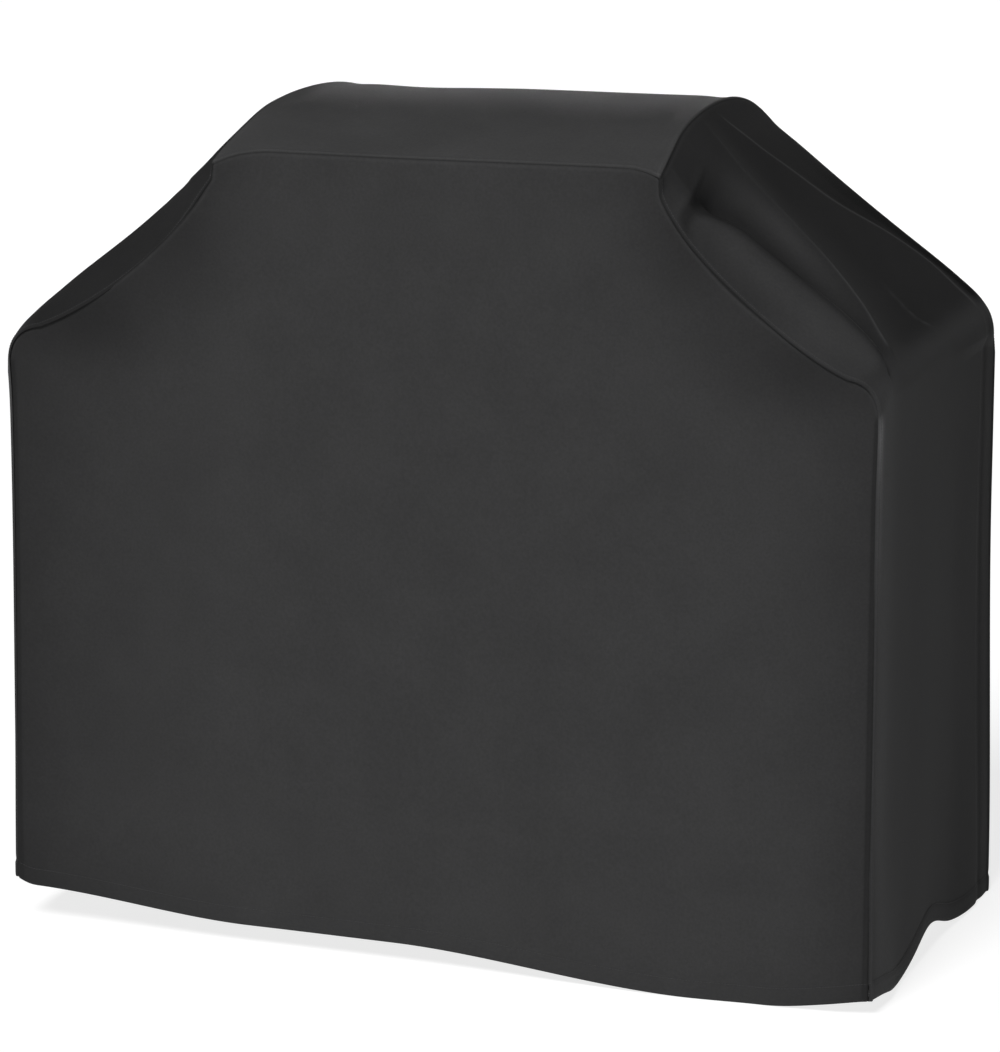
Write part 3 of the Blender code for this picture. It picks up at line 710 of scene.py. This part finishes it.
def slope_painted_light(t, d, lines, side):
    """Painted light where the slope's folds stand up to the light and painted shade down between
    them.
    """
    crest, valley, first, second = (line[:, None] for line in lines)
    slope = 1 - smoothstep(0.90, 1.02, t)
    # the left slope: painted shade all over
    if side < 0:
        return -0.95 * slope
    below = smoothstep(0.10, 0.28, t) * smoothstep(0.0, 0.08, 1.0 - t)
    # painted shade over the whole right slope, deeper towards the back
    tone = -0.60 - 0.30 * smoothstep(0.10, 0.30, d)
    # painted light on the pillow beside the bowed seam
    pillow = (1 - smoothstep(-0.018, 0.004, d - crest)) * smoothstep(0.0, 0.042, d)
    pillow = pillow + (1 - pillow) * 0.6 * smoothstep(0.45, 0.75, t) * (d < crest - 0.02)
    tone = tone + 1.00 * pillow * below
    # painted shade down in the groove
    groove = bump(d, 0.45 * crest + 0.55 * valley, 0.012 + 0.50 * (valley - crest))
    tone = tone - 1.05 * groove * below
    # painted light on the face between the valley and the first crease
    middle = 0.40 * valley + 0.60 * first
    tone = tone + 1.00 * bump(d, middle, 0.024) * bump(t, 0.45, 0.20)
    # painted shade behind the second crease
    tone = tone - 0.30 * smoothstep(0.0, 0.03, d - second) * below
    return tone * slope + crease_highlight_and_scuffing(t, d, lines)


def upright_painted_light(t, d, z):
    """The upright end, painted light and shade: palest beside the front seam, darker towards the
    back and hem, and a painted highlight beside the front corner seam.
    """
    front = 0.95 * bump(d, 0.035, 0.045) - 0.85 * smoothstep(0.0, 0.60, d)
    low = -0.15 * smoothstep(0.0, 0.5, 0.5 - z)
    below = 0.830 - z
    # painted highlight on the raised seam beside the front corner, strongest near the shelf
    painted_seam_highlight = 6.5 * bump(d, 0.0075, 0.0050) * (1 - smoothstep(0.03, 0.12, below))
    painted_seam_highlight += 2.4 * bump(d, 0.0120, 0.0100) * (1 - smoothstep(0.08, 0.36, below))
    painted_seam_highlight *= smoothstep(0.0, 0.015, below)
    return (front + low + painted_seam_highlight) * smoothstep(0.96, 1.10, t)


def shoulder_details(t, d, edge, side):
    """Small shapes on the slope: a tuck near the crown, a third crease, light rumples."""
    slope = smoothstep(0.0, 0.04, t) * smoothstep(0.0, 0.10, 1.02 - t)
    tuck = bump(t, 0.175, 0.035) * bump(d, 0.018, 0.030) * smoothstep(0.0, 0.02, edge)
    out = -0.008 * tuck * (side > 0)
    lip = bump(t, 0.118, 0.016) * smoothstep(0.0, 0.02, edge) * (1 - smoothstep(0.06, 0.13, d))
    out += 0.0035 * lip * (side > 0)
    third = crease(d, third_crease(t), 0.007)
    ridge = third * smoothstep(0.66, 0.82, t) * smoothstep(0, 0.10, 0.98 - t)
    out += 0.0025 * ridge
    rumple = waves(t * 0.4, d, 71 + side, 7, 9.0, 22.0)
    out += 0.0010 * rumple * smoothstep(0.01, 0.05, edge)
    return out * slope


def upright_relief(d, z):
    """Soft upright swags in the end panel and a belly at its lower front corner."""
    fade = smoothstep(0.0, 0.25, SHELF_Z - z)
    out = -0.0022 * bump(d, 0.42, 0.060) * fade + 0.0025 * bump(d, 0.25, 0.07) * fade
    low = smoothstep(0.0, 0.30, 0.30 - z)
    out += 0.008 * low * bump(d, 0.06, 0.06) - 0.003 * low * bump(d, 0.28, 0.09)
    out += 0.004 * low * bump(d, 0.50, 0.08)
    return out


# ------------------------ strips and stitches


def crossing(values, away, at):
    """Grid values where each row's distance first reaches a value."""
    rows = []
    for row, distance in zip(values, away):
        reach = int(np.argmax(distance > at + 0.004)) or len(distance)
        reach = max(reach, 3)
        known = np.maximum.accumulate(distance[:reach])
        rows.append([np.interp(at, known, row[:reach, k]) for k in range(values.shape[2])])
    return np.array(rows)


def seam_lines(panel, key, turn, reverse, places):
    """Points and normals on lines that run beside one edge of a panel's grid."""
    points, away = panel["points"], panel[key]
    normal = outward_normals(points, panel["outward"])
    both = np.concatenate([points, normal], -1)
    if turn:
        both, away = both.transpose(1, 0, 2), away.T
    if reverse:
        both, away = both[:, ::-1], away[:, ::-1]
    return [crossing(both, away, place) for place in places]


def resample(path, count):
    """A path's points and normals at even distances."""
    length = np.concatenate([[0], np.cumsum(np.linalg.norm(np.diff(path[:, :3], axis=0), axis=1))])
    at = np.linspace(0, length[-1], count)
    return np.stack([np.interp(at, length, path[:, k]) for k in range(path.shape[1])], 1)


def path_length(path):
    return float(np.linalg.norm(np.diff(path[:, :3], axis=0), axis=1).sum())


THREAD_RINGS = ((-0.5, 0.35), (-0.38, 0.85), (0.0, 1.0), (0.38, 0.85), (0.5, 0.35))


def stitch_mesh(name, paths, pitch=0.0042, length=0.0033, radius=0.00028):
    """Short lengths of thread lying along paths, half sunk in the cloth."""
    sides = 6
    points, faces = [], []
    ring_faces = grid_faces(len(THREAD_RINGS), sides + 1)
    ring_faces = np.where(ring_faces % (sides + 1) == sides, ring_faces - sides, ring_faces)
    for path in paths:
        count = max(int(path_length(path) / pitch), 2)
        even = resample(path, count + 1)
        centre = (even[1:] + even[:-1]) / 2
        along = even[1:, :3] - even[:-1, :3]
        along /= np.linalg.norm(along, axis=1, keepdims=True)
        normal = centre[:, 3:] / np.linalg.norm(centre[:, 3:], axis=1, keepdims=True)
        beside = np.cross(along, normal)
        for place, size in THREAD_RINGS:
            lift = radius * (0.9 - 2.4 * abs(place))
            for k in range(sides + 1):
                turn = 2 * math.pi * k / sides
                spot = centre[:, :3] + along * place * length + normal * lift
                spot = spot + beside * math.cos(turn) * radius * size
                spot = spot + normal * math.sin(turn) * radius * size
                points.append(spot)
        block = len(THREAD_RINGS) * (sides + 1)
        stacked = np.stack(points[-block:], 1).reshape(-1, 3)
        del points[-block:]
        start = sum(len(p) for p in points)
        points.append(stacked)
        offsets = start + block * np.arange(count)
        faces.append((ring_faces[None] + offsets[:, None, None]).reshape(-1, 4))
    return mesh_object(name, np.concatenate(points), np.concatenate(faces), [THREAD])


def tape_mesh(name, first, second, count):
    """A folded strip inside a seam, from lines beside both of its edges."""
    lines = [resample(line, count) for line in first[::-1] + second]
    rows = np.stack([line[:, :3] - line[:, 3:] * TAPE_INSET for line in lines], 1)
    faces = grid_faces(*rows.shape[:2])
    return thicken(mesh_object(name, rows.reshape(-1, 3), faces, [TAPE]), TAPE_THICKNESS, 0.0)


# ------------------------ materials


def node(tree, kind, **inputs):
    made = tree.nodes.new(kind)
    for key, value in inputs.items():
        made.inputs[key.replace("_", " ")].default_value = value
    return made


def maths(tree, operation, first, second=None):
    made = tree.nodes.new("ShaderNodeMath")
    made.operation = operation
    for slot, value in enumerate((first, second)):
        if value is None:
            continue
        if isinstance(value, (int, float)):
            made.inputs[slot].default_value = value
        else:
            tree.links.new(value, made.inputs[slot])
    return made.outputs[0]


def ramp(tree, value, low, high, low_colour, high_colour):
    made = tree.nodes.new("ShaderNodeMapRange")
    made.data_type = "FLOAT_VECTOR"
    tree.links.new(value, made.inputs[6])
    made.inputs[7].default_value = (low,) * 3
    made.inputs[8].default_value = (high,) * 3
    made.inputs[9].default_value = low_colour
    made.inputs[10].default_value = high_colour
    return made.outputs[1]


def noise(tree, vector, scale, detail=3.0, roughness=0.55):
    made = node(tree, "ShaderNodeTexNoise", Scale=scale, Detail=detail, Roughness=roughness)
    tree.links.new(vector, made.inputs["Vector"])
    return made.outputs["Fac"]


def weave(tree, vector, pitch):
    """Plain weave: raised yarn crossings on alternate squares."""
    split = tree.nodes.new("ShaderNodeSeparateXYZ")
    tree.links.new(vector, split.inputs[0])
    rate = math.pi / pitch
    across = maths(tree, "SINE", maths(tree, "MULTIPLY", split.outputs[0], rate))
    along = maths(tree, "SINE", maths(tree, "MULTIPLY", split.outputs[1], rate))
    over = maths(tree, "MULTIPLY", across, along)
    return maths(tree, "ABSOLUTE", over)


def multiply(tree, first, second):
    """Two colours multiplied together."""
    made = node(tree, "ShaderNodeMix")
    made.data_type = "RGBA"
    made.blend_type = "MULTIPLY"
    made.inputs["Factor"].default_value = 1.0
    tree.links.new(first, made.inputs["A"])
    tree.links.new(second, made.inputs["B"])
    return made.outputs["Result"]


def fabric_material(name, colour, roughness=0.80, specular=0.06, pitch=0.0009):
    """Woven cloth whose per-point attribute makes it paler or darker: scuffing, together with
    painted light and painted shade.
    """
    material = bpy.data.materials.new(name)
    material.use_nodes = True
    tree = material.node_tree
    shader = tree.nodes["Principled BSDF"]
    place = tree.nodes.new("ShaderNodeTexCoord").outputs["Object"]
    cloth = tree.nodes.new("ShaderNodeUVMap")
    cloth.uv_map = "cloth"
    wear_and_light_marks = tree.nodes.new("ShaderNodeAttribute")
    wear_and_light_marks.attribute_name = "wear_and_painted_light"

    mottle = noise(tree, place, 9.0, 5.0, 0.6)
    fine = noise(tree, place, 260.0, 2.0, 0.5)
    low = tuple(0.93 * c for c in colour)
    high = tuple(1.07 * c for c in colour)
    base = ramp(tree, mottle, 0.30, 0.70, low, high)
    # scales the cloth's colour by its scuffing, painted highlights and painted shade
    wear_and_light_tint = ramp(tree, wear_and_light_marks.outputs["Fac"], -2.0, 7.0, (0.0,) * 3, (4.50,) * 3)
    shade = ramp(tree, fine, 0.25, 0.75, (0.92,) * 3, (1.08,) * 3)
    cloth_colour = multiply(tree, multiply(tree, base, wear_and_light_tint), shade)
    tree.links.new(cloth_colour, shader.inputs["Base Color"])

    rough = maths(tree, "ADD", maths(tree, "MULTIPLY", mottle, 0.14), roughness - 0.07)
    tree.links.new(rough, shader.inputs["Roughness"])
    shader.inputs["Sheen Weight"].default_value = 0.01
    shader.inputs["Sheen Roughness"].default_value = 0.5
    shader.inputs["Specular IOR Level"].default_value = specular

    threads = weave(tree, cloth.outputs["UV"], pitch)
    slub = noise(tree, cloth.outputs["UV"], 900.0, 2.0, 0.5)
    surface = maths(tree, "ADD", threads, maths(tree, "MULTIPLY", slub, 0.35))
    fine_bump = node(tree, "ShaderNodeBump", Strength=0.35, Distance=0.00025)
    tree.links.new(surface, fine_bump.inputs["Height"])
    crumple = noise(tree, place, 26.0, 4.0, 0.55)
    soft_bump = node(tree, "ShaderNodeBump", Strength=0.12, Distance=0.004)
    tree.links.new(crumple, soft_bump.inputs["Height"])
    tree.links.new(fine_bump.outputs["Normal"], soft_bump.inputs["Normal"])
    tree.links.new(soft_bump.outputs["Normal"], shader.inputs["Normal"])
    return material


def plain_material(name, colour, roughness, metallic=0.0, scale=300.0, depth=0.0001):
    """Moulded plastic, tape or metal with fine colour, gloss and surface variation."""
    material = bpy.data.materials.new(name)
    material.use_nodes = True
    tree = material.node_tree
    shader = tree.nodes["Principled BSDF"]
    place = tree.nodes.new("ShaderNodeTexCoord").outputs["Object"]
    grain = noise(tree, place, scale, 3.0, 0.6)
    low = tuple(0.8 * c for c in colour)
    high = tuple(min(1.2 * c, 1.0) for c in colour)
    tree.links.new(ramp(tree, grain, 0.3, 0.7, low, high), shader.inputs["Base Color"])
    gloss = maths(tree, "ADD", maths(tree, "MULTIPLY", grain, 0.2), roughness - 0.1)
    tree.links.new(gloss, shader.inputs["Roughness"])
    shader.inputs["Metallic"].default_value = metallic
    relief = node(tree, "ShaderNodeBump", Strength=0.3, Distance=depth)
    tree.links.new(grain, relief.inputs["Height"])
    tree.links.new(relief.outputs["Normal"], shader.inputs["Normal"])
    return material


# Lit and shaded copies of one cloth: the crown's copy is painted paler and the ends' copy painted
# darker.
FABRIC = fabric_material("cover_cloth", (0.033, 0.033, 0.0335))
PAINTED_LIT_CLOTH = fabric_material("cover_cloth_painted_lit", (0.050, 0.050, 0.0505))
SHADED = fabric_material("cover_cloth_ends_painted_shade", (0.031, 0.031, 0.0315))
LINING = fabric_material("cover_lining", (0.030, 0.030, 0.031), 0.50, 0.35)
THREAD = plain_material("stitch_thread", (0.022, 0.022, 0.023), 0.6, 0.0, 900.0)
TAPE = plain_material("seam_tape", (0.10, 0.10, 0.105), 0.42, 0.0, 120.0)
ELASTIC = plain_material("elastic_cord", (0.022, 0.022, 0.022), 0.75, 0.0, 900.0, 0.0003)
METAL = plain_material("eyelet_metal", (0.10, 0.10, 0.105), 0.34, 1.0, 500.0)
PLASTIC = plain_material("lock_plastic", (0.018, 0.018, 0.019), 0.42, 0.0, 700.0)
STEEL = plain_material("spring_steel", (0.52, 0.53, 0.55), 0.28, 1.0, 400.0)


# ------------------------ build the cloth


def dress_piece(piece, node):
    """The piece rides on the cover in place of a CAD node."""
    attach(piece, "cover")
    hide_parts(node)


def build_panels():
    panels = {
        "front_panel": front_panel(),
        "back_panel": back_panel(),
        "crown_panel": crown_panel(),
        "right_end_panel": end_panel(1),
        "left_end_panel": end_panel(-1),
    }
    for node, panel in panels.items():
        # the crown takes the painted-lit copy of the cloth and the ends the painted-shade copy
        cloth = {"crown_panel": PAINTED_LIT_CLOTH, "front_panel": FABRIC, "back_panel": FABRIC}
        piece = cloth_sheet(node + "_cloth", panel, (cloth.get(node, SHADED), LINING))
        dress_piece(piece, node)
    return panels


def between(line, axis, low, high):
    """The part of a line whose coordinate lies between two values."""
    return line[(line[:, axis] > low) & (line[:, axis] < high)]


SIDES = ((1, "right"), (-1, "left"))
TAPE_PLACES = (0.0010, 0.0050, 0.0120)
TAPE_INSET = CLOTH + 0.0006
TAPE_THICKNESS = 0.0004
TAPE_STOP = 0.012


def add_tape(node, first, second, axis, low, high, count):
    """A tape between two places along one axis, from lines beside both panels' edges."""
    first = [between(line, axis, low, high) for line in first]
    second = [between(line, axis, low, high) for line in second]
    if axis == 2:
        first = [line[::-1] for line in first]
    dress_piece(tape_mesh(node + "_strip", first, second, count), node)


def build_tapes(panels):
    """Strips inside every seam: beside the upright edges and round the crown."""
    for end in ("front", "back"):
        flat = panels[end + "_panel"]
        for side, label in SIDES:
            first = seam_lines(flat, "edge", False, side > 0, TAPE_PLACES)
            ends = panels[label + "_end_panel"]
            second = seam_lines(ends, "edge", False, end == "back", TAPE_PLACES)
            node = f"{end}_{label}_seam_tape"
            add_tape(node, first, second, 2, 0.10, TOP_Z - TAPE_STOP, 120)
    crown = panels["crown_panel"]
    reach = CROWN_X - TAPE_STOP
    for end in ("front", "back"):
        flat = panels[end + "_panel"]
        first = seam_lines(crown, "edge", True, end == "back", TAPE_PLACES)
        second = seam_lines(flat, "top", True, True, TAPE_PLACES)
        add_tape(f"crown_{end}_seam_tape", first, second, 0, -reach, reach, 60)
    low, high = FRONT_Y + 0.060, BACK_Y - 0.075
    for side, label in SIDES:
        first = seam_lines(crown, "ends", False, side > 0, TAPE_PLACES)
        second = seam_lines(panels[label + "_end_panel"], "top", True, False, TAPE_PLACES)
        add_tape(f"crown_{label}_seam_tape", first, second, 1, low, high, 60)


# Height up the hem and inset behind the cloth of a casing's cross-section
CASING_SECTION = (
    (0.0380, 0.0016),
    (0.0320, 0.0016),
    (0.0285, 0.0045),
    (0.0240, 0.0075),
    (0.0170, 0.0084),
    (0.0100, 0.0075),
    (0.0055, 0.0045),
    (0.0025, 0.0016),
    (0.0006, 0.0013),
)


def hem_lines(panel, reverse, places):
    """Lines along a panel's hem at heights above its lower edge."""
    return seam_lines(panel, "low", True, reverse, places)


def build_casings(panels):
    for node, axis, end in (
        ("front", 0, False),
        ("back", 0, False),
        ("right", 1, True),
        ("left", 1, True),
    ):
        panel = panels[panel_node(node)]
        reach = SIDE_X - 0.018 if axis == 0 else DEPTH / 2 - 0.018
        middle = 0.0 if axis == 0 else MID_Y
        lines = hem_lines(panel, end, [place for place, _ in CASING_SECTION])
        lines = [between(line, axis, middle - reach, middle + reach) for line in lines]
        lines = [resample(line, 90) for line in lines]
        pairs = zip(lines, CASING_SECTION)
        grid = np.stack([line[:, :3] - line[:, 3:] * inset for line, (_, inset) in pairs], 0)
        uv = np.stack([running_length(grid, 1), running_length(grid, 0)], -1).reshape(-1, 2)
        faces = grid_faces(*grid.shape[:2])
        name = node + "_hem_casing"
        piece = mesh_object(name + "_cloth", grid.reshape(-1, 3), faces, [LINING], uv)
        thicken(piece, CASING_THICKNESS, 0.0)
        dress_piece(piece, name)


def panel_node(end):
    return end + ("_panel" if end in ("front", "back") else "_end_panel")


# ------------------------ drawcord


def tube(name, path, radius, sides, material):
    """A round cord along a path, with lengthwise and roundabout coordinates."""
    along = np.gradient(path, axis=0)
    along /= np.linalg.norm(along, axis=1, keepdims=True)
    side = np.cross(along, (0.0, 0.0, 1.0))
    side /= np.linalg.norm(side, axis=1, keepdims=True)
    over = np.cross(side, along)
    turn = 2 * math.pi * np.arange(sides + 1) / sides
    ring = side[:, None] * np.cos(turn)[None, :, None] + over[:, None] * np.sin(turn)[None, :, None]
    points = path[:, None] + ring * radius
    length = np.concatenate([[0], np.cumsum(np.linalg.norm(np.diff(path, axis=0), axis=1))])
    uv = np.stack([length[:, None] + 0 * turn, radius * turn[None, :] + 0 * length[:, None]], -1)
    faces = grid_faces(len(path), sides + 1)
    return mesh_object(name, points.reshape(-1, 3), faces, [material], uv.reshape(-1, 2))


def cord_path(panels):
    """Out of the left eyelet, round inside the hem and back out of the right one."""
    lines = {}
    for label in ("front", "back", "right", "left"):
        panel = panels[panel_node(label)]
        line = hem_lines(panel, label in ("right", "left"), [CORD_Z])[0]
        lines[label] = line[:, :3] - line[:, 3:] * CORD_INSET
    turn = 0.013
    reach_x, reach_y = SIDE_X - 0.022, DEPTH / 2 - 0.022
    back = lines["back"]
    left_back = back[(back[:, 0] > -reach_x) & (back[:, 0] < -turn)][::-1]
    right_back = back[(back[:, 0] < reach_x) & (back[:, 0] > turn)][::-1]
    front = between(lines["front"], 0, -reach_x, reach_x)
    left = between(lines["left"], 1, MID_Y - reach_y, MID_Y + reach_y)[::-1]
    right = between(lines["right"], 1, MID_Y - reach_y, MID_Y + reach_y)
    hem = np.concatenate([left_back, left, front, right, right_back])
    end_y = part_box("cord_end_left")[0].y + 0.0004
    tail = []
    for y in np.linspace(end_y, BACK_Y - 0.001, 10):
        tail.append((-CORD_X, y, CORD_Z))
    for angle in np.linspace(0.2, math.pi / 2, 5):
        x = -CORD_X - 0.006 * (1 - math.cos(angle))
        tail.append((x, BACK_Y - 0.001 - 0.0048 * math.sin(angle), CORD_Z))
    tail = np.array(tail)
    path = np.concatenate([tail, hem, tail[::-1] * (-1, 1, 1)])
    length = np.concatenate([[0], np.cumsum(np.linalg.norm(np.diff(path, axis=0), axis=1))])
    at = np.linspace(0, length[-1], int(length[-1] / 0.003))
    path = np.stack([np.interp(at, length, path[:, k]) for k in range(3)], 1)
    smooth = path.copy()
    for _ in range(30):
        smooth[1:-1] = (smooth[:-2] + 2 * smooth[1:-1] + smooth[2:]) / 4
    hidden = smoothstep(0.030, 0.060, np.minimum(at, at[-1] - at))[:, None]
    return path * (1 - hidden) + smooth * hidden


def build_drawcord(panels):
    cord = tube("drawcord_elastic", cord_path(panels), CORD_RADIUS, 12, ELASTIC)
    dress_piece(cord, "drawcord")


# ------------------------ stitching


def build_stitches(panels):
    """Topstitching beside every seam and round the hem."""
    paths = []
    beside = (0.0048,)
    for end in ("front", "back"):
        flat = panels[end + "_panel"]
        for _, label in SIDES:
            line = seam_lines(panels[label + "_end_panel"], "edge", False, end == "back", beside)[0]
            paths.append(between(line, 2, 0.03, FAR))
        crown = seam_lines(panels["crown_panel"], "edge", True, end == "back", beside)[0]
        paths.append(between(crown, 0, 0.006 - CROWN_X, CROWN_X - 0.006))
        paths.append(between(hem_lines(flat, False, [HEM_FOLD])[0], 0, -SIDE_X, SIDE_X))
    for side, label in SIDES:
        line = seam_lines(panels["crown_panel"], "ends", False, side > 0, beside)[0]
        paths.append(between(line, 1, FRONT_Y + 0.006, BACK_Y - 0.006))
        paths.append(hem_lines(panels[label + "_end_panel"], True, [HEM_FOLD])[0])
    stitches = stitch_mesh("topstitching", paths)
    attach(stitches, "cover")


PANELS = build_panels()
build_tapes(PANELS)
build_casings(PANELS)
build_drawcord(PANELS)
build_stitches(PANELS)


# ------------------------ carried-over nodes


def dress(names, material):
    for name in names:
        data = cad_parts[name].data
        data.materials.clear()
        data.materials.append(material)


dress([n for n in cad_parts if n.startswith("eyelet")], METAL)
dress(["cord_lock_body", "cord_lock_button", "cord_end_left", "cord_end_right"], PLASTIC)
dress(["cord_lock_spring"], STEEL)


# ------------------------ floor and light


def make_stage():
    bpy.ops.mesh.primitive_plane_add(size=80.0, location=(0.0, 0.0, -0.0005))
    floor = bpy.context.object
    floor.name = "floor"
    material = bpy.data.materials.new("floor_paint")
    material.use_nodes = True
    shader = material.node_tree.nodes["Principled BSDF"]
    shader.inputs["Base Color"].default_value = (0.30, 0.30, 0.30, 1.0)
    shader.inputs["Roughness"].default_value = 0.9
    shader.inputs["Specular IOR Level"].default_value = 0.1
    shader.inputs["Emission Color"].default_value = (1.0, 1.0, 1.0, 1.0)
    shader.inputs["Emission Strength"].default_value = 0.80
    floor.data.materials.append(material)


def make_sky(low, high, seen):
    """Soft light all round, brighter near the horizon, before a pale backdrop."""
    world = bpy.data.worlds.new("studio")
    bpy.context.scene.world = world
    world.use_nodes = True
    tree = world.node_tree
    split = tree.nodes.new("ShaderNodeSeparateXYZ")
    tree.links.new(tree.nodes.new("ShaderNodeTexCoord").outputs["Generated"], split.inputs[0])
    blend = tree.nodes.new("ShaderNodeMapRange")
    blend.inputs["From Min"].default_value = 0.05
    blend.inputs["From Max"].default_value = 0.75
    blend.inputs["To Min"].default_value = low
    blend.inputs["To Max"].default_value = high
    tree.links.new(split.outputs[2], blend.inputs["Value"])
    light = tree.nodes["Background"]
    tree.links.new(blend.outputs[0], light.inputs["Strength"])
    backdrop = node(tree, "ShaderNodeBackground", Color=(seen, seen, seen, 1.0))
    choose = tree.nodes.new("ShaderNodeMixShader")
    tree.links.new(tree.nodes.new("ShaderNodeLightPath").outputs["Is Camera Ray"], choose.inputs[0])
    tree.links.new(light.outputs[0], choose.inputs[1])
    tree.links.new(backdrop.outputs[0], choose.inputs[2])
    tree.links.new(choose.outputs[0], tree.nodes["World Output"].inputs["Surface"])


def make_sun(name, towards, strength, spread):
    """Soft light from a wide source. towards points from the light to the cover."""
    data = bpy.data.lights.new(name, "SUN")
    data.energy = strength
    data.angle = math.radians(spread)
    lamp = link(bpy.data.objects.new(name, data))
    lamp.location = Vector(towards) * -8
    lamp.rotation_euler = Vector(towards).to_track_quat("-Z", "Y").to_euler()


make_stage()
make_sky(0.30, 0.10, 1.0)
make_sun("key", (0.06, 0.67, -0.74), 3.1, 20.0)
make_sun("back_fill", (0.35, -0.93, -0.05), 0.6, 10.0)
bpy.context.scene.view_settings.view_transform = "Standard"
